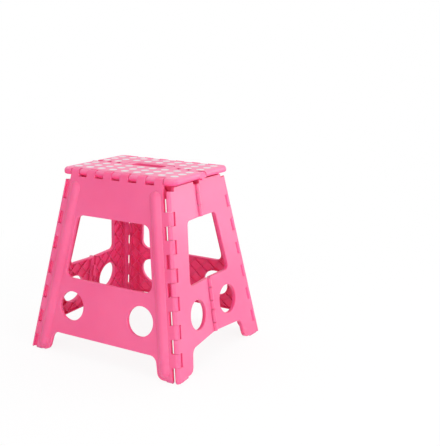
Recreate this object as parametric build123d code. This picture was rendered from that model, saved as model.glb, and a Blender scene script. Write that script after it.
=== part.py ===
from build123d import *
from math import atan2, ceil, cos, degrees, radians, sin, sqrt, tan
import os

# Folding step stool of moulded plastic, shown open.
# Millimetres, +Z up, front faces -Y, origin on the floor under the middle of the top.

# Overall form
overall_height = 390.0
foot_half_width = 191.5  # outer side face at the floor
foot_half_depth = 169.5  # outer front face at the floor
lean = 9.4  # all four walls lean inward by this angle, degrees
side_set = 3.5  # each side half is folded inward by this angle at rest, degrees
foot_lift = 1.5  # how far the rubber pads hold the plastic off the floor

# Panel mouldings
skin = 3.0
rim_wall = 2.6
leg_depth = 7.2
side_depth = 8.5
side_corner_depth = 6.1  # side panels are thinner beside the corner hinge
side_corner_band = 14.0
rib_wall = 1.8
rib_pitch = 24.0
rib_recess = 1.6  # ribs end this far below the rim
edge_round = 1.6
solid_foot = 15.0  # height of the solid foot that holds a pad

# Corner hinges between leg panels and side halves
corner_radius = 6.5
axis_from_leg_face = 10.0
axis_from_side_face = 6.5
bottom_knuckle = 30.2
knuckle_pitch = 27.6
middle_knuckles = 11
top_knuckle = 39.8
leg_slit = 1.8
side_slit = 1.5
knuckle_round = 6.0
knuckle_gap = 0.6

# Pins
pin_radius = 1.7
side_pin_radius = 1.5
pin_clearance = 0.08
loose_side_clearance = 0.5  # right side fold, the pivot that closes the side loop
loose_top_clearance = 2.9  # rear top hinge, the pivot that closes the top loop
pin_end = 4.2  # pins stop this far above the floor

# Leg panel openings, half sizes, heights measured up the sloping face
leg_window_top = 300.0
leg_window_bottom = 166.0
leg_window_top_half = 90.0
leg_window_bottom_half = 112.0
leg_window_round = 16.0
hole_radius = 31.0
hole_height = 107.0
leg_hole_offset = 88.0
leg_arch_height = 44.5
leg_arch_half = 131.5
leg_foot_inner = 141.0
arch_round = 16.0
foot_round = 16.0
foot_round_reach = 1.3  # run of that rounding along the floor, as a share of its radius
ridge_offset = 26.0  # ridge centre line inside the corner hinge axis
ridge_width = 25.0
ridge_height = 6.5
ridge_wall = 2.8
ridge_top_gap = 12.0  # below the top hinge axis
ridge_foot_gap = 10.0  # above the floor, along the corner hinge

# Side panel openings
side_top_height = 371.0
side_window_top = 300.0
side_window_bottom = 170.0
side_window_top_half = 54.0
side_window_bottom_half = 78.0
side_window_round = 10.0
side_hole_offset = 60.0
side_arch_middle = 53.5
side_arch_height = 47.0
side_arch_half = 99.0
side_foot_inner = 109.0

# Side centre fold
fold_radius = 5.0
fold_offset = 0.25  # axis outside the outer face, so folded faces don't rub
fold_edge = 0.3
fold_notch = 1.8
fold_gap = 1.4
fold_top_step = 7.0
fold_step_width = 11.0
upper_knuckle_low = 324.0
upper_knuckle_high = 351.0
lower_knuckle_length = 28.0
lower_knuckle_first = 73.0
lower_knuckle_second = 121.2

# Top halves
top_width = 284.0
top_corner_round = 16.0
top_edge_round = 6.5
rim_edge_round = 4.0
top_skin = 3.0
front_top_depth = 14.0
rear_top_depth = 13.5
top_taper_gap = 0.4  # rims stop this far from the fold axis level at the middle
top_rib_wall = 2.0
top_rib_columns = 7
top_rib_rows = 2

# Hinges between leg panels and top halves
hinge_radius = 8.0
hinge_half_width = 115.0
leg_hinge_knuckles = 6
leg_hinge_knuckle = 20.4
top_hinge_radius = 6.4  # the top halves' own knuckles, slimmer so they pass when folded
hinge_gap = 1.0
loose_hinge_gap = 3.2
hinge_knuckle_gap = 1.0
hinge_lip = 0.9  # thickness of the top where it laps over the leg knuckles
hinge_arm_round = 5.0
lobe_gap = 1.8

# Middle fold of the top
fold_axis_depth = 12.0
fold_boss_radius = 5.0
fold_reach = 5.0
fold_slot_gap = 1.0
rear_fold_knuckle = 15.0
front_fold_knuckle = 10.0
top_fold_round = 3.0

# Handle loop
handle_width = 112.0
handle_reach = 31.4
handle_depth = 13.0
handle_opening_width = 79.0
handle_opening_depth = 26.0
handle_bar = 8.6
handle_round = 10.0
handle_opening_round = 6.0
handle_gap = 1.2
finger_bumps = 4
finger_pitch = 20.0
finger_radius = 12.0
finger_rise = 1.2

# Grip dots
dot_radius = 8.5
dot_thickness = 1.2
dot_proud = 0.4
dot_columns = 9
dot_rows = 3
dot_column_pitch = 30.3
dot_row_pitch = 27.5
front_dot_row = 32.5
rear_dot_row = 29.0

# Foot pads
pad_depth = 4.2
pad_width = 4.4
leg_pad_length = 15.0
side_pad_length = 26.0

# Values worked out from the sizes above
far = 2.0 * overall_height
lean_sin = sin(radians(lean))
lean_cos = cos(radians(lean))
top_z = overall_height - dot_proud
hinge_z = top_z - hinge_radius
hinge_y = -(foot_half_depth - tan(radians(lean)) * hinge_z) + hinge_radius / lean_cos
front_edge_y = hinge_y - hinge_radius
fold_z = top_z - fold_axis_depth
foot_slope = foot_lift / lean_cos

# Corner hinge axis at the front right, where it meets the floor, and its direction
corner_point = Vector(
    foot_half_width - axis_from_side_face / lean_cos,
    -foot_half_depth + axis_from_leg_face / lean_cos,
    0,
)
corner_direction = Vector(-lean_sin, lean_sin, lean_cos).normalized()


def flip_y(vector):
    """Mirror image of a vector in the plane between front and rear."""
    return Vector(vector.X, -vector.Y, vector.Z)


# Front leg frame: x across, y up the outer face, z outward
leg_frame = Plane(
    origin=(0, -foot_half_depth, 0), x_dir=(1, 0, 0), z_dir=(0, -lean_cos, lean_sin)
)

# Right rear side frame: x from the centre fold to the rear corner, y up, z outward
side_normal = Vector(lean_cos, 0, lean_sin).rotate(
    Axis((0, 0, 0), flip_y(corner_direction)), -side_set
)
side_foot_x = (side_normal.dot(flip_y(corner_point)) + axis_from_side_face) / side_normal.X
side_up = Vector(-side_normal.Z, 0, side_normal.X).normalized()
side_frame = Plane(origin=(side_foot_x, 0, 0), x_dir=side_up.cross(side_normal), z_dir=side_normal)


def corner_location(frame, point, direction):
    """Place of a corner hinge in a panel's frame, with y along the hinge axis."""
    start = frame.to_local_coords(point)
    run = frame.to_local_coords(point + direction) - start
    return Location((start.X, start.Y, start.Z), (0, 0, degrees(atan2(-run.X, run.Y))))


leg_corner = corner_location(leg_frame, corner_point, corner_direction)
side_corner = corner_location(side_frame, flip_y(corner_point), flip_y(corner_direction))


def axis_offset(corner, height):
    """Distance of a corner hinge axis from a panel's middle line at a height up the panel."""
    slope = tan(radians(corner.orientation.Z))
    return corner.position.X - slope * (height - corner.position.Y)


def block(x0, x1, y0, y1, z0, z1):
    """Box between two opposite corners."""
    return Pos((x0 + x1) / 2, (y0 + y1) / 2, (z0 + z1) / 2) * Box(x1 - x0, y1 - y0, z1 - z0)


def rod_y(radius, y0, y1):
    """Cylinder along the y axis."""
    return Pos(0, (y0 + y1) / 2, 0) * Rot(90, 0, 0) * Cylinder(radius, y1 - y0)


def rod_x(radius, x0, x1, y, z):
    """Cylinder along the x axis at a given y and z."""
    return Pos((x0 + x1) / 2, y, z) * Rot(0, 90, 0) * Cylinder(radius, x1 - x0)


def flat(*points):
    """Flat polygon through the given points."""
    return make_face(Polyline(*points, close=True))


def rounded(face, radius, *places):
    """Round the corners of a flat shape that lie at the given places."""
    picked = [face.vertices().sort_by_distance((x, y, 0))[0] for x, y in places]
    return fillet(picked, radius)


# Corner knuckle bands up the hinge axis; even bands belong to the side panel
knuckle_ends = [-bottom_knuckle, bottom_knuckle]
knuckle_ends += [bottom_knuckle + knuckle_pitch * (i + 1) for i in range(middle_knuckles)]
knuckle_ends += [knuckle_ends[-1] + top_knuckle]
knuckle_bands = list(zip(knuckle_ends, knuckle_ends[1:]))
side_bands = knuckle_bands[0::2]
leg_bands = knuckle_bands[1::2]
corner_top = knuckle_ends[-1]


def rib_lattice(width, height):
    """Crossed diagonal bars that cover a panel."""
    reach = (width + height) * sin(radians(45))
    count = ceil(reach / 2 / rib_pitch)
    return [
        Pos(0, height / 2) * Rot(0, 0, turn) * Pos(i * rib_pitch, 0) * Rectangle(rib_wall, 2 * reach)
        for turn in (45, -45)
        for i in range(-count, count + 1)
    ]


def panel_plate(outline, openings, depth):
    """Full depth plate with openings, its outer edges rounded."""
    face = outline
    for opening in openings:
        face -= opening
    plate = extrude(face, -depth)
    return fillet(plate.faces().sort_by(Axis.Z)[-1].edges(), edge_round)


def rib_hollows(outline, openings, solid, depth, width, height):
    """Hollows that leave a skin, a rim round every edge and a diagonal rib lattice.

    outline and openings are flat shapes, solid is the flat area that stays full depth.
    """
    pocket = offset(outline, -rim_wall, kind=Kind.INTERSECTION)
    for opening in openings:
        pocket -= offset(opening, rim_wall, kind=Kind.INTERSECTION)
    pocket -= solid
    cells = pocket - rib_lattice(width, height)
    return [
        Pos(0, 0, -skin) * extrude(cells, -depth),
        Pos(0, 0, rib_recess - depth) * extrude(pocket, -depth),
    ]


def leg_knuckle_profile():
    """Cross section of a leg panel's corner knuckle, flush with both outer faces."""
    back = corner_radius + leg_slit
    shell = flat(
        (-back, 0), (axis_from_side_face, 0),
        (axis_from_side_face, axis_from_leg_face), (-back, axis_from_leg_face),
    )
    shell = rounded(shell, knuckle_round, (axis_from_side_face, axis_from_leg_face))
    return shell + Circle(corner_radius)


def side_knuckle_profile():
    """Cross section of a side panel's corner knuckle: x toward the corner, flush with the leg panel."""
    shell = flat(
        (0, 0), (axis_from_leg_face, 0),
        (axis_from_leg_face, axis_from_side_face), (0, axis_from_side_face),
    )
    shell = rounded(shell, knuckle_round, (axis_from_leg_face, axis_from_side_face))
    return shell + Circle(corner_radius)


def knuckle(profile, start, end):
    """Knuckle of the given cross section along a band of a corner hinge axis."""
    length = end - start - knuckle_gap
    return Pos(0, (start + end) / 2, 0) * Rot(90, 0, 0) * extrude(profile, length / 2, both=True)


def capsule_y(radius, y0, y1):
    """Cylinder along the y axis with a half ball at each end; y0 and y1 are the balls' centres."""
    bend = radius * sin(radians(45))
    outline = [
        ThreePointArc((0, y0 - radius), (bend, y0 - bend), (radius, y0)),
        Line((radius, y0), (radius, y1)),
        ThreePointArc((radius, y1), (bend, y1 + bend), (0, y1 + radius)),
        Line((0, y1 + radius), (0, y0 - radius)),
    ]
    return revolve(make_face(outline), Axis.Y)


def ridge():
    """Half round ridge along the right leg of a leg panel, round nosed and hollow behind."""
    half = ridge_width / 2
    radius = (half ** 2 + ridge_height ** 2) / (2 * ridge_height)
    centre = ridge_height - radius
    bottom = ridge_foot_gap + half
    top = leg_frame.to_local_coords(Vector(0, hinge_y, hinge_z)).Y - ridge_top_gap - half
    place = leg_corner * Pos(-ridge_offset, 0, axis_from_leg_face)
    body = Pos(0, 0, centre) * capsule_y(radius, bottom, top)
    hollow = Pos(0, 0, centre) * capsule_y(radius - ridge_wall, bottom, top)
    body = body & block(-far, far, -far, far, 0, far)
    return place * body, place * (hollow & block(-far, far, -far, far, -skin, far))


def hinge_bands():
    """Bands along the top hinge as two lists: the leg panel's and the top half's."""
    spare = 2 * hinge_half_width - leg_hinge_knuckles * leg_hinge_knuckle
    top_knuckle_width = spare / (leg_hinge_knuckles - 1)
    leg, top = [], []
    x = -hinge_half_width
    for i in range(leg_hinge_knuckles):
        leg.append((x, x + leg_hinge_knuckle))
        x += leg_hinge_knuckle
        if i < leg_hinge_knuckles - 1:
            top.append((x, x + top_knuckle_width))
            x += top_knuckle_width
    return leg, top


def leg_panel(gap):
    """Front leg panel in its own frame; gap is the room round the top half's knuckles."""
    hinge = leg_frame.to_local_coords(Vector(0, hinge_y, hinge_z))
    low = axis_offset(leg_corner, foot_slope)
    high = axis_offset(leg_corner, hinge.Y)
    right = [
        (high, hinge.Y), (low, foot_slope), (leg_foot_inner, foot_slope), (leg_arch_half, leg_arch_height),
    ]
    left = [(-x, y) for x, y in reversed(right)]
    outline = flat(*right, *left)
    arch = [(s * leg_arch_half, leg_arch_height) for s in (1, -1)]
    feet = [(s * leg_foot_inner, foot_slope) for s in (1, -1)]
    outline = rounded(outline, arch_round, *arch)
    outline = rounded(outline, foot_round, *feet)
    window_points = [
        (leg_window_bottom_half, leg_window_bottom), (leg_window_top_half, leg_window_top),
        (-leg_window_top_half, leg_window_top), (-leg_window_bottom_half, leg_window_bottom),
    ]
    window = rounded(flat(*window_points), leg_window_round, *window_points)
    holes = [Pos(s * leg_hole_offset, hole_height) * Circle(hole_radius) for s in (1, -1)]
    solid = Pos(0, foot_slope) * Rectangle(far, 2 * solid_foot)
    solid += Pos(0, hinge.Y) * Rectangle(far, 2 * (hinge_radius + gap + rim_wall))
    corner_strip = Pos(leg_corner.position.X, leg_corner.position.Y) * Rot(0, 0, leg_corner.orientation.Z)
    strip = corner_strip * Rectangle(2 * (corner_radius + leg_slit + rim_wall), 2 * far)
    solid += strip + mirror(strip, Plane.YZ)
    openings = [window, *holes]
    panel = panel_plate(outline, openings, leg_depth)

    # Ridges down both legs
    body, hollow = ridge()
    panel += body + mirror(body, Plane.YZ)
    panel -= hollow + mirror(hollow, Plane.YZ)

    # Corner knuckles, and slits for the side panels' knuckles
    reach = corner_radius + leg_slit
    knuckles = Part()
    slits = Part()
    for start, end in leg_bands:
        knuckles += leg_corner * knuckle(leg_knuckle_profile(), start, end)
    for start, end in side_bands:
        top = far if end == corner_top else end
        slits += leg_corner * block(-reach, far, start, top, -far, far)
    bore = leg_corner * rod_y(pin_radius + pin_clearance, -far, far)
    for side in (slits, mirror(slits, Plane.YZ)):
        panel -= side
    for side in (knuckles, mirror(knuckles, Plane.YZ)):
        panel += side
    panel -= bore + mirror(bore, Plane.YZ)

    # Knuckles along the top edge
    leg_x, top_x = hinge_bands()
    for x0, x1 in top_x:
        panel -= block(x0, x1, hinge.Y - hinge_radius - gap, far, -far, far)
    inset = hinge_knuckle_gap / 2
    for x0, x1 in leg_x:
        panel += rod_x(hinge_radius, x0 + inset, x1 - inset, hinge.Y, hinge.Z)
    panel -= rod_x(pin_radius + pin_clearance, -far, far, hinge.Y, hinge.Z)
    panel -= leg_frame.to_local_coords(block(-far, far, -far, far, -far, foot_lift))
    for hollow in rib_hollows(outline, openings, solid, leg_depth, 2 * low, hinge.Y):
        panel -= hollow
    return panel


def fold_bands():
    """Bands up the side fold as two lists: the front half's and the rear half's."""
    second_end = lower_knuckle_second + lower_knuckle_length
    first_end = lower_knuckle_first + lower_knuckle_length
    top = side_frame_top() - fold_top_step
    front = [
        (side_arch_middle, lower_knuckle_first), (first_end, lower_knuckle_second),
        (second_end, side_window_bottom), (side_window_top, upper_knuckle_low), (upper_knuckle_high, top),
    ]
    rear = [
        (lower_knuckle_first, first_end), (lower_knuckle_second, second_end),
        (upper_knuckle_low, upper_knuckle_high),
    ]
    return front, rear


def side_frame_top():
    """Height of the side panel's top edge, measured up the panel."""
    return side_top_height / side_frame.y_dir.Z


def side_half(front, clearance):
    """One side half in the rear half's frame; clearance is the room round its fold pin."""
    low_y = foot_lift / side_frame.y_dir.Z
    top_y = side_frame_top()
    step_y = top_y - fold_top_step
    outline_points = [
        (fold_edge, side_arch_middle), (side_arch_half, side_arch_height), (side_foot_inner, low_y),
        (axis_offset(side_corner, low_y), low_y), (axis_offset(side_corner, top_y), top_y),
        (fold_step_width, top_y), (fold_step_width, step_y), (fold_edge, step_y),
    ]
    outline = flat(*outline_points)
    outline = rounded(outline, arch_round, (side_arch_half, side_arch_height))
    outline = rounded(outline, foot_round, (side_foot_inner, low_y))
    outline = rounded(outline, edge_round, (fold_step_width, top_y))
    window = flat(
        (-side_window_top_half, side_window_top), (side_window_top_half, side_window_top),
        (side_window_bottom_half, side_window_bottom), (-side_window_bottom_half, side_window_bottom),
    )
    window = rounded(
        window, side_window_round,
        (side_window_top_half, side_window_top), (side_window_bottom_half, side_window_bottom),
    )
    hole = Pos(side_hole_offset, hole_height) * Circle(hole_radius)
    reach = fold_radius + fold_notch
    solid = Pos(0, low_y) * Rectangle(far, 2 * solid_foot)
    solid += Rectangle(2 * (reach + rim_wall), 2 * far)
    corner_strip = Pos(side_corner.position.X, side_corner.position.Y) * Rot(0, 0, side_corner.orientation.Z)
    solid += corner_strip * Rectangle(2 * (corner_radius + side_slit + rim_wall), 2 * far)
    panel = panel_plate(outline, [window, hole], side_depth)

    # Thin band beside the corner, its knuckles, and slits for the leg panel's knuckles
    panel -= side_corner * block(
        -side_corner_band, far, -far, far, -far, axis_from_side_face - side_corner_depth
    )
    slit = corner_radius + side_slit
    for start, end in leg_bands:
        panel -= side_corner * block(-slit, far, start, end, -far, far)
    for start, end in side_bands:
        panel += side_corner * knuckle(side_knuckle_profile(), start, end)
    panel -= side_corner * block(-slit, far, corner_top - knuckle_gap / 2, far, -far, far)
    panel -= side_corner * rod_y(pin_radius + pin_clearance, pin_end - pin_clearance, far)

    # Knuckles of the centre fold, and notches for the other half's
    front_bands, rear_bands = fold_bands()
    own, other = (front_bands, rear_bands) if front else (rear_bands, front_bands)
    inset = fold_gap / 2
    for start, end in other:
        panel -= block(-far, reach, start, end, -far, far)
    for start, end in own:
        panel += Pos(0, 0, fold_offset) * rod_y(fold_radius, start + inset, end - inset)
    panel -= Pos(0, 0, fold_offset) * rod_y(side_pin_radius + clearance, side_arch_middle + rim_wall, far)
    panel -= side_frame.to_local_coords(block(-far, far, -far, far, -far, foot_lift))
    for hollow in rib_hollows(outline, [window, hole], solid, side_depth, 2 * foot_half_depth, top_y):
        panel -= hollow
    return panel


def top_fold_bands():
    """Bands of the top's middle fold right of the handle: the rear half's and the front half's."""
    x = handle_width / 2 + handle_gap
    rear, front = [], []
    for _ in range(2):
        rear.append((x, x + rear_fold_knuckle))
        x += rear_fold_knuckle
        front.append((x, x + front_fold_knuckle))
        x += front_fold_knuckle
    rear.append((x, x + rear_fold_knuckle))
    front.append((x + rear_fold_knuckle, top_width / 2))
    return rear, front


def both_sides(bands):
    """The given bands and their mirror images left of the middle."""
    return bands + [(-x1, -x0) for x0, x1 in bands]


def top_blank(depth, middle_z):
    """Front top half as a full block: rounded in plan, underside rising to the middle."""
    half = top_width / 2
    plan = flat((-half, front_edge_y), (half, front_edge_y), (half, 0), (-half, 0))
    plan = rounded(plan, top_corner_round, (-half, front_edge_y), (half, front_edge_y))
    blank = Pos(0, 0, top_z) * extrude(plan, -2 * depth)
    upper = blank.faces().sort_by(Axis.Z)[-1].edges().filter_by_position(Axis.Y, -far, -edge_round)
    blank = fillet(upper, top_edge_round)
    wedge = flat((front_edge_y, top_z - depth), (0, middle_z), (0, -far), (front_edge_y, -far))
    blank -= extrude(Plane.YZ * wedge, far, both=True)
    under = blank.faces().sort_by(Axis.Z)[0].edges().filter_by_position(Axis.Y, -far, -edge_round)
    return fillet(under, rim_edge_round)


def top_pockets(back_y, middle_z):
    """Hollows of a top half's underside, a grid of boxes between the ribs."""
    half = top_width / 2 - rim_wall
    front = hinge_y + hinge_radius + loose_hinge_gap + rim_wall
    width = 2 * half / top_rib_columns
    depth = (back_y - front) / top_rib_rows
    pockets = Part()
    for i in range(top_rib_columns):
        x0 = -half + i * width
        for j in range(top_rib_rows):
            y0 = front + j * depth
            pockets += block(
                x0 + top_rib_wall / 2, x0 + width - top_rib_wall / 2,
                y0 + top_rib_wall / 2, y0 + depth - top_rib_wall / 2,
                middle_z - 2 * front_top_depth, top_z - top_skin,
            )
    return pockets


def hinge_edge(panel, gap, clearance):
    """Cut a front top half's edge for the leg panel's knuckles and add its own."""
    leg_x, top_x = hinge_bands()
    side = hinge_half_width + lobe_gap
    inset = hinge_knuckle_gap / 2
    room = hinge_radius + gap
    back = hinge_y + room
    lip = hinge_y + sqrt(room ** 2 - (hinge_radius - hinge_lip) ** 2)
    panel -= block(-side, side, -far, lip, 0, far)
    panel -= block(-side, side, -far, back, 0, hinge_z)
    panel -= rod_x(room, -side, side, hinge_y, hinge_z)
    for x0, x1 in top_x:
        arm = block(x0 + inset, x1 - inset, hinge_y, back + rim_wall, hinge_z - hinge_radius / 2, top_z)
        corner = arm.edges().filter_by(Axis.X).sort_by_distance((x0, hinge_y, top_z))[0]
        panel += fillet(corner, hinge_arm_round)
        panel += rod_x(top_hinge_radius, x0 + inset, x1 - inset, hinge_y, hinge_z)
    pin_reach = side + rim_wall + clearance
    return panel - rod_x(pin_radius + clearance, -pin_reach, pin_reach, hinge_y, hinge_z)


def dot_places(first_row, skip_half_width):
    """Places of the grip dots on a front half, leaving out those nearer the middle than given."""
    places = []
    for row in range(dot_rows):
        y = front_edge_y + first_row + row * dot_row_pitch
        for column in range(dot_columns):
            x = (column - (dot_columns - 1) / 2) * dot_column_pitch
            last = row == dot_rows - 1
            if not last or abs(x) > skip_half_width:
                places.append((x, y))
    return places


def dots(places):
    """Soft discs set into a top half."""
    z = top_z + dot_proud - dot_thickness / 2
    discs = [Pos(x, y, z) * Cylinder(dot_radius, dot_thickness) for x, y in places]
    return Compound(children=[disc.solid() for disc in discs])


def dot_seats(places):
    """Round recesses that the discs sit in."""
    seats = Part()
    for x, y in places:
        seats += Pos(x, y, top_z + dot_proud - dot_thickness / 2) * Cylinder(dot_radius, dot_thickness)
    return seats


def handle_loop():
    """Carry handle on the front top half, reaching over the fold into the rear half's notch."""
    half = handle_width / 2
    tip = handle_reach
    outer = flat((-half, -handle_bar), (half, -handle_bar), (half, tip), (-half, tip))
    outer = rounded(outer, handle_round, (-half, tip), (half, tip))
    for i in range(finger_bumps):
        x = (i - (finger_bumps - 1) / 2) * finger_pitch
        outer += Pos(x, tip + finger_rise - finger_radius) * Circle(finger_radius)
    opening_top = tip - handle_bar
    opening = Pos(0, opening_top - handle_opening_depth / 2) * RectangleRounded(
        handle_opening_width, handle_opening_depth, handle_opening_round
    )
    loop = Pos(0, 0, top_z - handle_depth) * extrude(outer, handle_depth)
    loop = fillet(loop.faces().sort_by(Axis.Z)[-1].edges().filter_by_position(Axis.Y, 0, far), edge_round)
    return loop, Pos(0, 0, fold_z) * extrude(opening, far, both=True)


def front_top():
    """Front top half with the handle, its rims, ribs and hinge knuckles."""
    middle_z = fold_z - top_taper_gap
    panel = top_blank(front_top_depth, middle_z)
    notch_y = -fold_reach - fold_slot_gap
    panel -= top_pockets(notch_y - rim_wall, middle_z)
    panel = hinge_edge(panel, hinge_gap, pin_clearance)
    rear_bands, front_bands = top_fold_bands()
    inset = knuckle_gap / 2
    for x0, x1 in both_sides(rear_bands):
        panel -= block(x0, x1, notch_y, far, 0, far)
    upper = block(-far, far, -far, far, middle_z, far)
    for x0, x1 in both_sides(front_bands):
        outer = abs(x0) == top_width / 2 or abs(x1) == top_width / 2
        a = x0 if outer and x0 < 0 else x0 + inset
        b = x1 if outer and x1 > 0 else x1 - inset
        panel += (rod_x(fold_axis_depth, a, b, 0, fold_z) & upper) + rod_x(fold_boss_radius, a, b, 0, fold_z)
    half = handle_width / 2
    panel -= block(-half - handle_gap, half + handle_gap, notch_y, far, 0, far)
    loop, opening = handle_loop()
    panel = panel + loop - opening
    for pin in top_fold_pins(pin_radius + pin_clearance):
        panel -= pin
    return panel - dot_seats(front_dots())


def rear_top():
    """Rear top half, modelled facing front and turned round: notch for the handle and knuckles."""
    middle_z = fold_z + top_taper_gap
    panel = top_blank(rear_top_depth, middle_z)
    notch = fold_axis_depth + fold_slot_gap
    pocket_end = -(handle_reach + finger_rise + handle_gap + rim_wall)
    panel -= top_pockets(pocket_end, middle_z)
    panel = hinge_edge(panel, loose_hinge_gap, loose_top_clearance)
    rear_bands, front_bands = top_fold_bands()
    inset = knuckle_gap / 2
    for x0, x1 in both_sides(front_bands):
        panel -= block(x0, x1, -notch, far, 0, far)
    for x0, x1 in both_sides(rear_bands):
        arm = block(x0 + inset, x1 - inset, -notch, fold_reach, middle_z, top_z)
        corner = arm.edges().filter_by(Axis.X).sort_by_distance((x0, fold_reach, top_z))[0]
        panel += fillet(corner, top_fold_round)
        panel += rod_x(fold_boss_radius, x0 + inset, x1 - inset, 0, fold_z)
    half = handle_width / 2 + handle_gap
    depth = handle_reach + finger_rise + handle_gap
    slot = flat((-half, far), (half, far), (half, -depth), (-half, -depth))
    slot = rounded(slot, handle_round + handle_gap, (-half, -depth), (half, -depth))
    panel -= extrude(slot, far)
    for pin in top_fold_pins(pin_radius + pin_clearance):
        panel -= pin
    panel -= dot_seats(rear_dots())
    return Rot(0, 0, 180) * panel


def front_dots():
    """Dot places of the front half."""
    return dot_places(front_dot_row, -1)


def rear_dots():
    """Dot places of the rear half, seen as a front half: the handle notch has none."""
    return dot_places(rear_dot_row, handle_width / 2 + dot_radius)


def top_fold_pins(radius):
    """Pins of the top's middle fold, left and right of the handle."""
    inner = handle_width / 2 + handle_gap + knuckle_gap
    outer = top_width / 2 - rim_wall
    return [rod_x(radius, -outer, -inner, 0, fold_z), rod_x(radius, inner, outer, 0, fold_z)]


def hinge_pin():
    """Pin of the hinge between the front leg panel and the top."""
    reach = hinge_half_width + lobe_gap + rim_wall
    return rod_x(pin_radius, -reach, reach, hinge_y, hinge_z)


def corner_pin():
    """Pin of the front right corner hinge."""
    pin = leg_corner * rod_y(pin_radius, pin_end, corner_top - knuckle_gap)
    return leg_frame * pin


def side_pins():
    """Pins of the right side's fold: below and above the window."""
    front_bands, _ = fold_bands()
    low = front_bands[0][0] + rim_wall
    spans = [(low + pin_clearance, front_bands[2][1]), (front_bands[3][0], front_bands[4][1])]
    rods = [rod_y(side_pin_radius, start, end - knuckle_gap) for start, end in spans]
    return [side_frame * (Pos(0, 0, fold_offset) * rod) for rod in rods]


def leg_pads():
    """Rubber pads under the two feet of the front leg panel."""
    inner = leg_foot_inner + foot_round_reach * foot_round
    depth = leg_depth / lean_cos
    y = -foot_half_depth + depth / 2
    x = inner + leg_pad_length / 2
    return [Pos(s * x, y, pad_depth / 2) * Box(leg_pad_length, pad_width, pad_depth) for s in (1, -1)]


def side_pad():
    """Rubber pad under the foot of the right rear side half."""
    start = side_foot_inner + foot_round_reach * foot_round
    pad = Pos(start + side_pad_length / 2, 0, -side_corner_depth / 2)
    pad = side_frame * pad * Box(side_pad_length, 2 * pad_depth, pad_width)
    return pad & block(-far, far, -far, far, 0, pad_depth)


def keep(node, shape):
    """Write one node of the part."""
    export_step(shape, os.path.join("parts", node + ".step"))


def build():
    """Model every node and write it."""
    os.makedirs("parts", exist_ok=True)
    turn = Rot(0, 0, 180)
    pads = leg_pads()
    front_leg = leg_frame * leg_panel(hinge_gap)
    rear_leg = leg_frame * leg_panel(loose_hinge_gap)
    for pad in pads:
        front_leg -= pad
        rear_leg -= pad
    keep("front_leg_panel", front_leg)
    keep("rear_leg_panel", turn * rear_leg)
    keep("front_foot_pads", Compound(children=[pad.solid() for pad in pads]))
    keep("rear_foot_pads", Compound(children=[(turn * pad).solid() for pad in leg_pads()]))

    foot_pad = side_pad()
    tight_front = side_frame * side_half(True, pin_clearance) - foot_pad
    tight_rear = side_frame * side_half(False, pin_clearance) - foot_pad
    loose_rear = side_frame * side_half(False, loose_side_clearance) - foot_pad
    keep("right_front_side_panel", mirror(tight_front, Plane.XZ))
    keep("right_rear_side_panel", loose_rear)
    keep("left_front_side_panel", turn * tight_front)
    keep("left_rear_side_panel", mirror(tight_rear, Plane.YZ))
    keep("right_front_foot_pad", mirror(foot_pad, Plane.XZ))
    keep("right_rear_foot_pad", foot_pad)
    keep("left_front_foot_pad", turn * foot_pad)
    keep("left_rear_foot_pad", mirror(foot_pad, Plane.YZ))

    pin = corner_pin()
    keep("front_right_corner_pin", pin)
    keep("front_left_corner_pin", mirror(pin, Plane.YZ))
    keep("rear_right_corner_pin", mirror(pin, Plane.XZ))
    keep("rear_left_corner_pin", turn * pin)
    for name, side_pin in zip(("lower", "upper"), side_pins()):
        keep("right_" + name + "_side_pin", side_pin)
        keep("left_" + name + "_side_pin", mirror(side_pin, Plane.YZ))

    keep("front_top_panel", front_top())
    keep("rear_top_panel", rear_top())
    keep("front_grip_dots", dots(front_dots()))
    keep("rear_grip_dots", dots([(-x, -y) for x, y in rear_dots()]))
    keep("front_top_hinge_pin", hinge_pin())
    keep("rear_top_hinge_pin", turn * hinge_pin())
    left_pin, right_pin = top_fold_pins(pin_radius)
    keep("left_top_fold_pin", left_pin)
    keep("right_top_fold_pin", right_pin)


build()
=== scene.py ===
"""Folding step stool of moulded pink plastic: finishes, grip dots, camera and studio.

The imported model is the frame. Its panels, pins and foot pads keep their solids and get
procedural finishes, and the soft grip dots of the top are modelled here.
All lengths are metres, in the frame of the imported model.
"""

from __future__ import annotations

import logging
import math
from dataclasses import dataclass
from enum import Enum
from typing import Any, Union

import bmesh
import bpy
import numpy as np
from mathutils import Matrix, Vector

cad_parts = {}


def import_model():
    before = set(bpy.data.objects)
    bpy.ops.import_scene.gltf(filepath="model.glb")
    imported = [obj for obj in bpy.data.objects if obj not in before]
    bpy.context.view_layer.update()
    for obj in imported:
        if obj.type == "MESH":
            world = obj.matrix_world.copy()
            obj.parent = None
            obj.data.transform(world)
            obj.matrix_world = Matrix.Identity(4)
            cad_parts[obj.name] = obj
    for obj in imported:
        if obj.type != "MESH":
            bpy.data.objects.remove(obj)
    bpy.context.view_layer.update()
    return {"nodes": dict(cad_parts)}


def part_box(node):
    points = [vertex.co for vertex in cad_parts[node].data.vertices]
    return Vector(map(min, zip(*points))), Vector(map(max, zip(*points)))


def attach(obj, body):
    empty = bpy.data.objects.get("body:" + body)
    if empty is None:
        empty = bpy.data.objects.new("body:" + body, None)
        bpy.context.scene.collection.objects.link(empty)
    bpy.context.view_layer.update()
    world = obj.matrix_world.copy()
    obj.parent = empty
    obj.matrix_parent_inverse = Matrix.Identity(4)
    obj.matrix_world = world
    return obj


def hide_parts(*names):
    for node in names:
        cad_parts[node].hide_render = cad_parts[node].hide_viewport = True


LOG = logging.getLogger("step_stool")

MM = 0.001
WELD = 0.001 * MM
WHITE = (1.0, 1.0, 1.0, 1.0)

Colour = tuple[float, float, float]
Point = tuple[float, float, float]
Span = tuple[float, float]
Value = Union[float, "Wire"]


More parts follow.
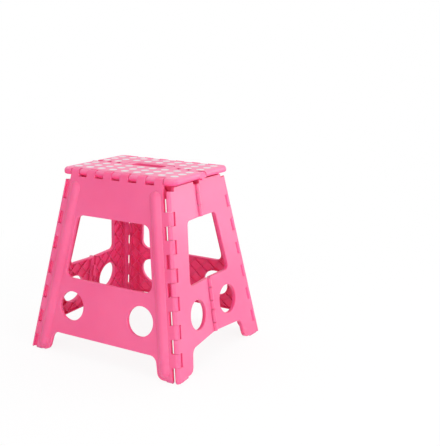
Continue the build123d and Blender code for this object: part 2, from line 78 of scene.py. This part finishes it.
class Facing(Enum):
    """The ways that the panels face, each with its outward direction."""

    FRONT = (0.0, -1.0, 0.0)
    REAR = (0.0, 1.0, 0.0)
    LEFT = (-1.0, 0.0, 0.0)
    RIGHT = (1.0, 0.0, 0.0)
    UP = (0.0, 0.0, 1.0)

    @staticmethod
    def of(node: str) -> "Facing":
        """Facing of a panel, read from its node's name.

        Args:
            node: Name of the panel's node.

        Returns:
            The way its outer face looks.
        """
        if "top" in node:
            return Facing.UP
        if "side" in node:
            return Facing.LEFT if node.startswith("left") else Facing.RIGHT
        return Facing.FRONT if node.startswith("front") else Facing.REAR


class Half(Enum):
    """The two halves of the top, each with the body that carries it."""

    FRONT = "front_top"
    REAR = "rear_top"

    @property
    def node(self) -> str:
        """Name of the CAD node that holds this half's grip dots."""
        return "front_grip_dots" if self is Half.FRONT else "rear_grip_dots"


class Wire:
    """A shader socket that takes part in Python sums: each operator adds one Math node."""

    def __init__(self, graph: "Graph", socket: bpy.types.NodeSocket) -> None:
        """Hold a socket of a graph.

        Args:
            graph: The graph that new nodes go into.
            socket: The output socket that carries the value.
        """
        self.graph = graph
        self.socket = socket

    def _math(self, operation: str, first: Value, second: Value) -> "Wire":
        """Add a Math node of two values.

        Args:
            operation: Blender's name of the operation.
            first: Left value.
            second: Right value.

        Returns:
            The node's output.
        """
        return self.graph.node("ShaderNodeMath", {"operation": operation}, {0: first, 1: second})

    def __add__(self, other: Value) -> "Wire":
        """Sum."""
        return self._math("ADD", self, other)

    def __radd__(self, other: Value) -> "Wire":
        """Sum with a number on the left."""
        return self._math("ADD", other, self)

    def __sub__(self, other: Value) -> "Wire":
        """Difference."""
        return self._math("SUBTRACT", self, other)

    def __rsub__(self, other: Value) -> "Wire":
        """Difference with a number on the left."""
        return self._math("SUBTRACT", other, self)

    def __mul__(self, other: Value) -> "Wire":
        """Product."""
        return self._math("MULTIPLY", self, other)

    def __rmul__(self, other: Value) -> "Wire":
        """Product with a number on the left."""
        return self._math("MULTIPLY", other, self)

    def ramp(self, span: Span) -> "Wire":
        """Smooth step: 0 below a span, 1 above it.

        Args:
            span: Values at which the step starts and ends.

        Returns:
            The stepped value.
        """
        settings = {"interpolation_type": "SMOOTHSTEP", "clamp": True}
        inputs = {"Value": self, "From Min": span[0], "From Max": span[1]}
        return self.graph.node("ShaderNodeMapRange", settings, inputs)

    def between(self, span: Span) -> "Wire":
        """Value that runs over a span while this one runs from 0 to 1."""
        return span[0] + (span[1] - span[0]) * self

    def dot(self, direction: Point) -> "Wire":
        """How far this vector reaches along a direction."""
        settings = {"operation": "DOT_PRODUCT"}
        return self.graph.node("ShaderNodeVectorMath", settings, {0: self, 1: direction}, "Value")


class Graph:
    """Node tree of a material or of the world."""

    def __init__(self, owner: bpy.types.Material | bpy.types.World) -> None:
        """Empty the owner's node tree.

        Args:
            owner: Material or world that the nodes are for.
        """
        owner.use_nodes = True
        self.owner = owner
        self.tree = owner.node_tree
        self.tree.nodes.clear()

    @classmethod
    def of_material(cls, name: str) -> "Graph":
        """Graph of a new material."""
        return cls(bpy.data.materials.new(name))

    def node(
        self, kind: str, settings: dict[str, Any], inputs: dict[Any, Any], output: Any = 0
    ) -> Wire:
        """Add a node.

        Args:
            kind: Blender's type name of the node.
            settings: Properties, set before the sockets.
            inputs: Values or wires for input sockets, by name or place.
            output: Name or place of the output to return.

        Returns:
            The chosen output.
        """
        made = self.tree.nodes.new(kind)
        for key, value in settings.items():
            setattr(made, key, value)
        for key, value in inputs.items():
            if isinstance(value, Wire):
                self.tree.links.new(value.socket, made.inputs[key])
            else:
                made.inputs[key].default_value = value
        return Wire(self, made.outputs[output])

    def place(self) -> Wire:
        """Position in the frame of the model: objects sit at the origin, so Object coordinates."""
        return self.node("ShaderNodeTexCoord", {}, {}, "Object")

    def stretched(self, scale: Point) -> Wire:
        """Position with each axis scaled, for patterns that run along one axis."""
        return self.node("ShaderNodeMapping", {}, {"Vector": self.place(), "Scale": scale})

    def noise(self, scale: float, detail: float, where: Wire | None = None) -> Wire:
        """Soft noise around one half.

        Args:
            scale: Features per metre.
            detail: Octaves of finer noise.
            where: Position to read, the frame's own if left out.

        Returns:
            The noise value.
        """
        spot = where if where is not None else self.place()
        inputs = {"Vector": spot, "Scale": scale, "Detail": detail}
        return self.node("ShaderNodeTexNoise", {}, inputs, "Fac")

    def blend(self, share: Value, first: Any, second: Any) -> Wire:
        """Mix of two colours by a share of the second."""
        settings = {"data_type": "RGBA", "clamp_factor": True}
        return self.node("ShaderNodeMix", settings, {"Factor": share, 6: first, 7: second}, 2)

    def rounded_normal(self, radius: float) -> Wire:
        """Surface normal with every sharp edge rounded to a radius."""
        return self.node("ShaderNodeBevel", {"samples": 6}, {"Radius": radius})

    def edge_mask(self, normal: Wire, reach: float) -> Wire:
        """How strongly a rounded normal leaves the true one: 1 along edges, 0 on flats.

        Args:
            normal: Rounded normal.
            reach: Departure that counts as a full edge.

        Returns:
            The mask.
        """
        true_normal = self.node("ShaderNodeNewGeometry", {}, {}, "Normal")
        settings = {"operation": "DOT_PRODUCT"}
        inputs = {0: normal, 1: true_normal}
        agreement = self.node("ShaderNodeVectorMath", settings, inputs, "Value")
        return (1.0 - agreement).ramp((0.0, reach))

    def openness(self, distance: float) -> Wire:
        """1 on open faces and outer edges, less in corners that the piece itself shades."""
        settings = {"samples": 6, "only_local": True}
        return self.node("ShaderNodeAmbientOcclusion", settings, {"Distance": distance}, "AO")

    def turned_from(self, direction: Point) -> Wire:
        """How far the surface faces away from a direction: -1 facing it, 1 facing away."""
        return -1.0 * self.node("ShaderNodeTexCoord", {}, {}, "Normal").dot(direction)

    def bump(
        self, height: Wire, depth: float, strength: float, normal: Wire | None = None
    ) -> Wire:
        """Normal with a relief on it.

        Args:
            height: Relief from 0 to 1.
            depth: Depth of the relief in metres.
            strength: Share of the relief that shows.
            normal: Normal that the relief is laid on, the surface's own if left out.

        Returns:
            The new normal.
        """
        inputs: dict[str, Any] = {"Height": height, "Distance": depth, "Strength": strength}
        if normal is not None:
            inputs["Normal"] = normal
        return self.node("ShaderNodeBump", {}, inputs)

    def principled(self, inputs: dict[str, Any]) -> bpy.types.Material:
        """Finish the material with a Principled shader of these values or wires."""
        return self.close(self.node("ShaderNodeBsdfPrincipled", {}, inputs))

    def close(self, shader: Wire) -> bpy.types.Material | bpy.types.World:
        """Link a shader to the owner's surface.

        Args:
            shader: The shader's output.

        Returns:
            The finished material or world.
        """
        kind = "World" if isinstance(self.owner, bpy.types.World) else "Material"
        target = self.tree.nodes.new("ShaderNodeOutput" + kind)
        self.tree.links.new(shader.socket, target.inputs["Surface"])
        return self.owner


def rgba(colour: Colour) -> tuple[float, float, float, float]:
    """Colour with full alpha."""
    return (*colour, 1.0)


@dataclass(frozen=True)
class MouldedPlastic:
    """Satin injection-moulded plastic: eroded grain, flow shades, pale worn edges, painted shade in
    corners.

    The core side of each moulding, away from its outer face, is duller, and is painted a deeper red
    that stands in for light bounced between the pink walls inside.
    Light soaks a little way into the plastic, red furthest, which warms the inner faces.
    """

    facing: Facing
    body: Colour = (0.86, 0.138, 0.310)
    shade: Colour = (0.83, 0.117, 0.282)
    worn: Colour = (0.92, 0.235, 0.410)
    # painted bounce light: deeper red for the inner faces, standing in for light bounced between
    # the pink walls
    painted_inner_bounce: Colour = (0.97, 0.075, 0.262)
    # painted shade: dark red laid into the corners and creases that the piece shades itself
    painted_corner_shade: Colour = (0.60, 0.045, 0.150)
    roughness: float = 0.31
    core_roughness: float = 0.14
    scuff_roughness: float = 0.07
    grain_roughness: float = 0.05
    edge_polish: float = 0.05
    specular: float = 0.42
    glow_weight: float = 0.50
    glow_radius: Colour = (1.0, 0.25, 0.35)
    glow_scale: float = 7.0 * MM
    core_turn: Span = (-0.25, 0.35)
    flow_per_metre: float = 7.0
    flow_span: Span = (0.35, 0.68)
    grain_per_metre: float = 1500.0
    grain_depth: float = 0.09 * MM
    grain_strength: float = 0.35
    scuff_per_metre: float = 120.0
    scuff_stretch: Point = (1.0, 1.0, 0.15)
    scuff_span: Span = (0.60, 0.74)
    edge_radius: float = 0.9 * MM
    edge_reach: float = 0.22
    edge_air: Span = (0.85, 0.97)
    patch_span: Span = (0.42, 0.66)
    worn_share: Span = (0.08, 0.38)
    corner_reach: float = 3.5 * MM
    corner_air: Span = (0.45, 0.90)
    corner_share: Span = (0.60, 0.20)

    def flow(self, graph: Graph) -> Wire:
        """Broad patches that the flow of the melt leaves, 0 to 1."""
        return graph.noise(self.flow_per_metre, 3.0).ramp(self.flow_span)

    def outer_colour(self, graph: Graph) -> Wire:
        """Colour of the outer face before wear."""
        return graph.blend(self.flow(graph), rgba(self.shade), rgba(self.body))

    def outer_roughness(self, graph: Graph) -> Value:
        """Roughness of the outer face before wear, the same all over."""
        return self.roughness

    def material(self) -> bpy.types.Material:
        """Build the material.

        Returns:
            The material, named for the way its panels face.
        """
        graph = Graph.of_material("pink_plastic_" + self.facing.name.lower())
        core_side = graph.turned_from(self.facing.value).ramp(self.core_turn)
        normal = graph.rounded_normal(self.edge_radius)
        air = graph.openness(self.corner_reach)
        edge = graph.edge_mask(normal, self.edge_reach) * air.ramp(self.edge_air)
        edge = edge * (1.0 - core_side)
        # where the piece shades itself; this carries the painted corner shade
        painted_corner_shade = 1.0 - air.ramp(self.corner_air)
        patches = graph.noise(self.scuff_per_metre, 4.0).ramp(self.patch_span)
        drawn_out = graph.stretched(self.scuff_stretch)
        scuff = graph.noise(self.scuff_per_metre, 6.0, drawn_out).ramp(self.scuff_span)
        grain = graph.noise(self.grain_per_metre, 2.0)

        # inner faces take the painted bounce light colour
        colour = graph.blend(core_side, self.outer_colour(graph), rgba(self.painted_inner_bounce))
        # painted shade in corners, stronger on the outer face than on the inner
        painted_shade_share = core_side.between(self.corner_share) * painted_corner_shade
        colour = graph.blend(painted_shade_share, colour, rgba(self.painted_corner_shade))
        colour = graph.blend(edge * patches.between(self.worn_share), colour, rgba(self.worn))

        roughness = self.outer_roughness(graph) + self.core_roughness * core_side
        roughness = roughness + self.scuff_roughness * scuff
        roughness = roughness + self.grain_roughness * (grain - 0.5) - self.edge_polish * edge
        sockets = {
            "Base Color": colour,
            "Roughness": roughness,
            "Normal": graph.bump(grain, self.grain_depth, self.grain_strength, normal),
            "Specular IOR Level": self.specular,
            "Subsurface Weight": self.glow_weight,
            "Subsurface Radius": self.glow_radius,
            "Subsurface Scale": self.glow_scale,
        }
        return graph.principled(sockets)


@dataclass(frozen=True)
class TreadPlastic(MouldedPlastic):
    """Plastic of the top: duller where it faces up, and painted paler there as a sheen."""

    # painted sheen: paler colour on what faces up, for the white sheen seen at a grazing view
    painted_top_sheen: Colour = (0.84, 0.230, 0.400)
    painted_sheen_share: Span = (0.40, 0.70)
    tread_turn: Span = (-0.30, 0.95)
    tread_roughness: float = 0.10

    def tread(self, graph: Graph) -> Wire:
        """1 on the tread itself, 0 on what faces down."""
        return (-1.0 * graph.turned_from(self.facing.value)).ramp(self.tread_turn)

    def outer_colour(self, graph: Graph) -> Wire:
        """Colour of the outer face, with a painted pale sheen on the tread."""
        share = self.tread(graph) * self.flow(graph).between(self.painted_sheen_share)
        return graph.blend(share, super().outer_colour(graph), rgba(self.painted_top_sheen))

    def outer_roughness(self, graph: Graph) -> Value:
        """Roughness of the outer face, higher on the tread."""
        return self.roughness + self.tread_roughness * self.tread(graph)


@dataclass(frozen=True)
class GripRubber:
    """Soft pale moulded rubber of the grip dots, a little dusty in its pores."""

    name: str = "grip_dot_rubber"
    body: Colour = (0.79, 0.710, 0.735)
    dust: Colour = (0.69, 0.580, 0.615)
    dust_share: float = 0.55
    roughness: Span = (0.58, 0.70)
    pores_per_metre: float = 2200.0
    pore_depth: float = 0.12 * MM
    pore_strength: float = 0.4
    patches_per_metre: float = 160.0
    patch_span: Span = (0.40, 0.70)

    def material(self) -> bpy.types.Material:
        """Build the material.

        Returns:
            The material.
        """
        graph = Graph.of_material(self.name)
        pores = graph.noise(self.pores_per_metre, 2.0)
        patches = graph.noise(self.patches_per_metre, 4.0).ramp(self.patch_span)
        sockets = {
            "Base Color": graph.blend(self.dust_share * patches, rgba(self.body), rgba(self.dust)),
            "Roughness": patches.between(self.roughness),
            "Normal": graph.bump(pores, self.pore_depth, self.pore_strength),
        }
        return graph.principled(sockets)


@dataclass(frozen=True)
class FootRubber:
    """Pink rubber of the foot pads, scuffed paler in patches, with a fine slanting tread."""

    name: str = "foot_pad_rubber"
    body: Colour = (0.74, 0.120, 0.275)
    scuffed: Colour = (0.80, 0.240, 0.390)
    roughness: Span = (0.72, 0.87)
    scuffs_per_metre: float = 420.0
    scuff_span: Span = (0.45, 0.70)
    tread_per_metre: float = 260.0
    tread_depth: float = 0.3 * MM
    tread_strength: float = 0.5

    def material(self) -> bpy.types.Material:
        """Build the material.

        Returns:
            The material.
        """
        graph = Graph.of_material(self.name)
        scuff = graph.noise(self.scuffs_per_metre, 5.0).ramp(self.scuff_span)
        settings = {"wave_type": "BANDS", "bands_direction": "DIAGONAL"}
        inputs = {"Vector": graph.place(), "Scale": self.tread_per_metre}
        tread = graph.node("ShaderNodeTexWave", settings, inputs, "Fac")
        sockets = {
            "Base Color": graph.blend(scuff, rgba(self.body), rgba(self.scuffed)),
            "Roughness": scuff.between(self.roughness),
            "Normal": graph.bump(tread, self.tread_depth, self.tread_strength),
        }
        return graph.principled(sockets)


@dataclass(frozen=True)
class PinSteel:
    """Drawn steel of the hinge pins, with fine lines along the wire."""

    name: str = "hinge_pin_steel"
    bright: Colour = (0.40, 0.39, 0.385)
    dull: Colour = (0.28, 0.27, 0.265)
    roughness: Span = (0.30, 0.48)
    line_roughness: float = 0.06
    lines_per_metre: float = 900.0
    line_stretch: Point = (0.6, 0.6, 0.08)
    line_depth: float = 0.03 * MM
    line_strength: float = 0.4
    tarnish_per_metre: float = 160.0
    tarnish_span: Span = (0.45, 0.72)

    def material(self) -> bpy.types.Material:
        """Build the material.

        Returns:
            The material.
        """
        graph = Graph.of_material(self.name)
        lines = graph.noise(self.lines_per_metre, 3.0, graph.stretched(self.line_stretch))
        tarnish = graph.noise(self.tarnish_per_metre, 4.0).ramp(self.tarnish_span)
        sockets = {
            "Base Color": graph.blend(tarnish, rgba(self.bright), rgba(self.dull)),
            "Metallic": 1.0,
            "Roughness": tarnish.between(self.roughness) + self.line_roughness * lines,
            "Normal": graph.bump(lines, self.line_depth, self.line_strength),
        }
        return graph.principled(sockets)


def new_object(name: str, points: np.ndarray, faces: np.ndarray) -> bpy.types.Object:
    """Mesh object of quads, welded where corners meet, smooth shaded, at the origin.

    Args:
        name: Name of the piece.
        points: Corner positions, one row each.
        faces: Corner numbers of each quad, one row each.

    Returns:
        The linked object.
    """
    mesh = bpy.data.meshes.new(name)
    mesh.from_pydata(points.tolist(), [], faces.tolist())
    work = bmesh.new()
    work.from_mesh(mesh)
    bmesh.ops.remove_doubles(work, verts=work.verts, dist=WELD)
    work.to_mesh(mesh)
    work.free()
    mesh.polygons.foreach_set("use_smooth", np.ones(len(mesh.polygons), dtype=bool))
    mesh.update()
    made = bpy.data.objects.new(name, mesh)
    bpy.context.scene.collection.objects.link(made)
    return made


def grid_faces(rows: int, columns: int) -> np.ndarray:
    """Quads of a grid of rows by columns whose columns close on themselves.

    Args:
        rows: Number of rows of points.
        columns: Number of points in each row.

    Returns:
        Corner numbers of the quads, one row each.
    """
    row, column = np.meshgrid(np.arange(rows - 1), np.arange(columns), indexing="ij")
    here = row * columns
    below = here + columns
    after = (column + 1) % columns
    corners = [here + column, below + column, below + after, here + after]
    return np.stack([painted_corner_shade.ravel() for painted_corner_shade in corners], axis=1)


@dataclass(frozen=True)
class GripDots:
    """The soft discs set into one half of the top."""

    half: Half
    columns: int = 9
    rows: int = 3
    radius: float = 8.5 * MM
    dish: float = 0.22 * MM
    pole: float = 0.02
    edge_power: float = 0.16
    height_power: float = 0.42
    rings: int = 22
    segments: int = 44
    notch_half_width: float = 64.5 * MM

    def centres(self) -> np.ndarray:
        """Dot centres, spread evenly over the box of the CAD dots.

        The row next to the middle of the rear half leaves out the dots whose place the
        handle's notch takes.

        Returns:
            Centre positions at mid height, one row each.
        """
        low, high = (np.array(painted_corner_shade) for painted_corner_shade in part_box(self.half.node))
        across = np.linspace(low[0] + self.radius, high[0] - self.radius, self.columns)
        along = np.linspace(low[1] + self.radius, high[1] - self.radius, self.rows)
        x, y = (values.ravel() for values in np.meshgrid(across, along))
        keep = np.ones_like(x, dtype=bool)
        if self.half is Half.REAR:
            nearest = np.isclose(y, along[np.argmin(np.abs(along))])
            keep = ~(nearest & (np.abs(x) < self.notch_half_width))
        middle = np.full(int(keep.sum()), (low[2] + high[2]) / 2)
        return np.column_stack([x[keep], y[keep], middle])

    def disc(self) -> tuple[np.ndarray, np.ndarray]:
        """One closed disc about the origin, a flat superellipsoid with a dished top.

        With t from pole to pole and turn a, the share s is sin(t) to the edge power, scaled
        to run from 0 at the poles to 1 at the rim. Then r = radius s, and z = height / 2
        times |cos t| to the height power, with the sign of cos t. The upper side sinks by
        dish (1 - s^2)^2.

        Returns:
            Points and quads.
        """
        low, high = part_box(self.half.node)
        height = high[2] - low[2]
        t = np.linspace(self.pole, math.pi - self.pole, self.rings)[:, None]
        a = np.linspace(0.0, 2 * math.pi, self.segments, endpoint=False)[None, :]
        share = np.sin(t) ** self.edge_power
        share = (share - share.min()) / (share.max() - share.min())
        z = np.sign(np.cos(t)) * np.abs(np.cos(t)) ** self.height_power * height / 2
        z = z - np.where(np.cos(t) > 0, self.dish * (1 - share ** 2) ** 2, 0.0)
        r = self.radius * share
        points = np.stack(np.broadcast_arrays(r * np.cos(a), r * np.sin(a), z + 0 * a), axis=-1)
        return points.reshape(-1, 3), grid_faces(self.rings, self.segments)

    def build(self, finish: bpy.types.Material) -> bpy.types.Object:
        """Set a disc at every centre and hand the piece to the body that carries it.

        Args:
            finish: Material of the discs.

        Returns:
            The piece.
        """
        disc, quads = self.disc()
        centres = self.centres()
        points = (centres[:, None, :] + disc[None, :, :]).reshape(-1, 3)
        shift = np.arange(len(centres))[:, None, None] * len(disc)
        faces = (quads[None, :, :] + shift).reshape(-1, 4)
        piece = new_object("soft_" + self.half.node, points, faces)
        piece.data.materials.append(finish)
        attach(piece, self.half.value)
        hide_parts(self.half.node)
        return piece


@dataclass(frozen=True)
class Panels:
    """The CAD nodes that keep their solids: panels, pins and foot pads."""

    nodes: dict[str, bpy.types.Object]

    def dress(self, rubber: FootRubber, steel: PinSteel) -> int:
        """Give every node the finish of its kind, the panels by the way they face.

        Args:
            rubber: Finish of the foot pads.
            steel: Finish of the pins.

        Returns:
            How many nodes were dressed.
        """
        pad, pin = rubber.material(), steel.material()
        plastic = {facing: MouldedPlastic(facing) for facing in Facing}
        plastic[Facing.UP] = TreadPlastic(Facing.UP)
        panel = {facing: finish.material() for facing, finish in plastic.items()}
        for name, node in self.nodes.items():
            finish = panel[Facing.of(name)]
            if name.endswith("_pin"):
                finish = pin
            elif "foot_pad" in name:
                finish = pad
            node.data.materials.clear()
            node.data.materials.append(finish)
        return len(self.nodes)


@dataclass(frozen=True)
class PhotoCamera:
    """Camera at the photograph's place, turned by azimuth, elevation and roll in degrees."""

    place: Point = (0.9437, -1.3186, 0.6553)
    azimuth: float = 30.0
    elevation: float = 13.55
    roll: float = 0.487
    lens: float = 62.01
    clip_end: float = 100.0

    def axes(self) -> Matrix:
        """Turn of the camera, worked out from azimuth, elevation and roll.

        Returns:
            Matrix whose columns are the camera's right, up and back.
        """
        turn, rise, tilt = (math.radians(v) for v in (self.azimuth, self.elevation, self.roll))
        flat = math.cos(rise)
        back = Vector((math.sin(turn) * flat, -math.cos(turn) * flat, math.sin(rise)))
        level = Vector((math.cos(turn), math.sin(turn), 0.0))
        upright = back.cross(level)
        right = level * math.cos(tilt) + upright * math.sin(tilt)
        up = upright * math.cos(tilt) - level * math.sin(tilt)
        return Matrix((right, up, back)).transposed()

    def build(self) -> None:
        """Make the camera and let the scene look through it."""
        made = bpy.data.objects.new("photo_camera", bpy.data.cameras.new("photo_camera"))
        made.data.lens = self.lens
        made.data.clip_end = self.clip_end
        made.matrix_world = Matrix.Translation(self.place) @ self.axes().to_4x4()
        bpy.context.scene.collection.objects.link(made)
        bpy.context.scene.camera = made


@dataclass(frozen=True)
class Lamp:
    """Square soft lamp aimed at the stool, with its side in metres and its power in watts."""

    name: str
    place: Point
    side: float
    power: float
    aim: Point = (0.0, 0.0, 0.2)

    def build(self) -> None:
        """Make the lamp and turn it to what it lights."""
        light = bpy.data.lights.new(self.name, "AREA")
        light.size = self.side
        light.energy = self.power
        made = bpy.data.objects.new(self.name, light)
        toward = Vector(self.aim) - Vector(self.place)
        made.location = self.place
        made.rotation_euler = toward.to_track_quat("-Z", "Y").to_euler()
        bpy.context.scene.collection.objects.link(made)


@dataclass(frozen=True)
class Studio:
    """Pale floor, white world and soft lamps.

    What gloss shows of the floor and the world is darker to the front left, as in a room
    with a window on the right.
    """

    floor_half: float = 40.0
    floor_colour: Colour = (0.92, 0.92, 0.92)
    floor_drop: float = 0.3 * MM
    floor_glow: float = 0.89
    shadow_span: Span = (0.45, 1.10)
    world_light: float = 0.62
    gloss_side: Point = (0.8, 0.6, 0.0)
    floor_gloss: Span = (0.50, 1.3)
    floor_gloss_span: Span = (-0.4, 0.5)
    world_gloss: Span = (0.50, 1.0)
    world_gloss_span: Span = (-0.9, 0.0)
    lamps: tuple[Lamp, ...] = (
        Lamp("key", (2.7, -0.9, 1.0), 1.5, 27.0),
        Lamp("front_fill", (0.8, -2.8, 0.9), 1.8, 20.0),
        Lamp("rear_sheen", (1.6, 1.9, 0.50), 2.0, 25.0),
        Lamp("top_fill", (-0.3, 0.3, 2.8), 2.2, 24.0),
    )

    @staticmethod
    def rays(graph: Graph) -> tuple[Wire, Wire, Wire]:
        """Marks of the rays that show the background.

        Args:
            graph: Graph that reads them.

        Returns:
            Three values that are 1 for rays from the camera, from gloss and through glass.
        """
        camera = graph.node("ShaderNodeLightPath", {}, {}, "Is Camera Ray")
        outputs = camera.socket.node.outputs
        gloss = Wire(graph, outputs["Is Glossy Ray"])
        clear = Wire(graph, outputs["Is Transmission Ray"])
        return camera, gloss, clear

    def floor(self) -> None:
        """Pale floor, white to the camera, that keeps the soft shadow in a disc round the stool."""
        edge = np.array([-self.floor_half, self.floor_half])
        x, y = (values.ravel() for values in np.meshgrid(edge, edge))
        points = np.column_stack([x, y, np.full_like(x, -self.floor_drop)])
        made = new_object("floor", points, np.array([[0, 1, 3, 2]]))
        graph = Graph.of_material("pale_floor")
        spot = graph.place()
        reach = graph.node("ShaderNodeVectorMath", {"operation": "LENGTH"}, {0: spot}, "Value")
        share = reach.ramp(self.shadow_span).between((self.floor_glow, 1.0))
        camera, gloss, clear = self.rays(graph)
        along = spot.dot(self.gloss_side).ramp(self.floor_gloss_span)
        strength = 1.0 + (along.between(self.floor_gloss) - 1.0) * gloss
        matt = graph.node("ShaderNodeBsdfDiffuse", {}, {"Color": rgba(self.floor_colour)})
        glow = graph.node("ShaderNodeEmission", {}, {"Color": WHITE, "Strength": strength})
        seen = (camera + gloss + clear) * share
        graph.close(graph.node("ShaderNodeMixShader", {}, {0: seen, 1: matt, 2: glow}))
        made.data.materials.append(graph.owner)

    def world(self) -> None:
        """White world: full white as background, dimmer as light."""
        graph = Graph(bpy.data.worlds.new("studio"))
        camera, gloss, clear = self.rays(graph)
        direction = graph.node("ShaderNodeTexCoord", {}, {}, "Generated")
        along = direction.dot(self.gloss_side).ramp(self.world_gloss_span)
        strength = (camera + clear).between((self.world_light, 1.0))
        strength = strength + (along.between(self.world_gloss) - self.world_light) * gloss
        shader = graph.node("ShaderNodeBackground", {}, {"Color": WHITE, "Strength": strength})
        bpy.context.scene.world = graph.close(shader)

    def build(self) -> None:
        """Set the floor, the world and the lamps."""
        self.floor()
        self.world()
        for lamp in self.lamps:
            lamp.build()


def main() -> None:
    """Load the frame, set the camera and the studio, dress the nodes and build the dots."""
    logging.basicConfig(level=logging.INFO, format="%(name)s: %(message)s")
    bpy.context.scene.view_settings.view_transform = "Standard"
    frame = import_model()
    PhotoCamera().build()
    studio = Studio()
    studio.build()
    LOG.info("set the camera, the floor and %d lamps", len(studio.lamps))
    count = Panels(frame["nodes"]).dress(FootRubber(), PinSteel())
    LOG.info("dressed %d nodes", count)
    rubber = GripRubber().material()
    for half in Half:
        piece = GripDots(half).build(rubber)
        LOG.info("built %s with %d points", piece.name, len(piece.data.vertices))


if __name__ == "__main__":
    main()
